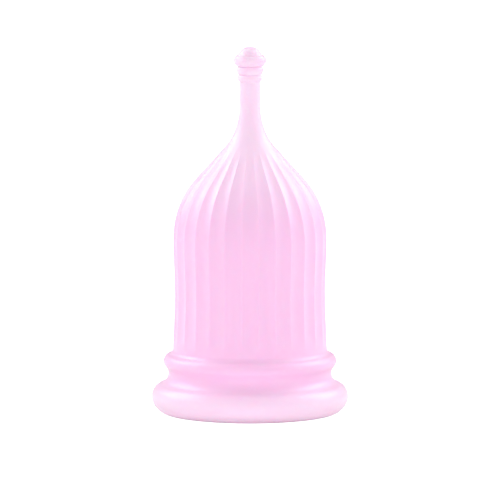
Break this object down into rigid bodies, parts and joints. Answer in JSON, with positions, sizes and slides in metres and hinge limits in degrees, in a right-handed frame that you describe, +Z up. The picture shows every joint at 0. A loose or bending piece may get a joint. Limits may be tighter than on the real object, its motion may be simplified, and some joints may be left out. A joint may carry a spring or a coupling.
{
  "type": "silicone cup with drain stem",
  "caption": "Soft silicone bell cup with a rolled two-step rim, fluted bell and ringed hollow stem closed by a pull-out stopper.",
  "frame": {"origin": "centre of the mouth, on the plane that the rim rests on", "axes": "+Z up the cup's axis from the mouth to the stopper; +Y away from the viewer, +X to the viewer's right"},
  "size_m": [0.044, 0.044, 0.0821],
  "materials": {
    "silicone": "milky translucent pink silicone, satin",
    "stopper_silicone": "milky translucent pink silicone, satin, a shade paler"
  },
  "bodies": {
    "cup": {"rolled_rim": "silicone", "fluted_bell": "silicone", "drain_stem": "silicone"},
    "stopper": {"stem_stopper": "stopper_silicone"}
  },
  "joints": [
    {"name": "stopper_pull", "type": "slide", "parent": "cup", "child": "stopper", "axis": [0, 0, 1], "range_m": [0, 0.0135]}
  ]
}
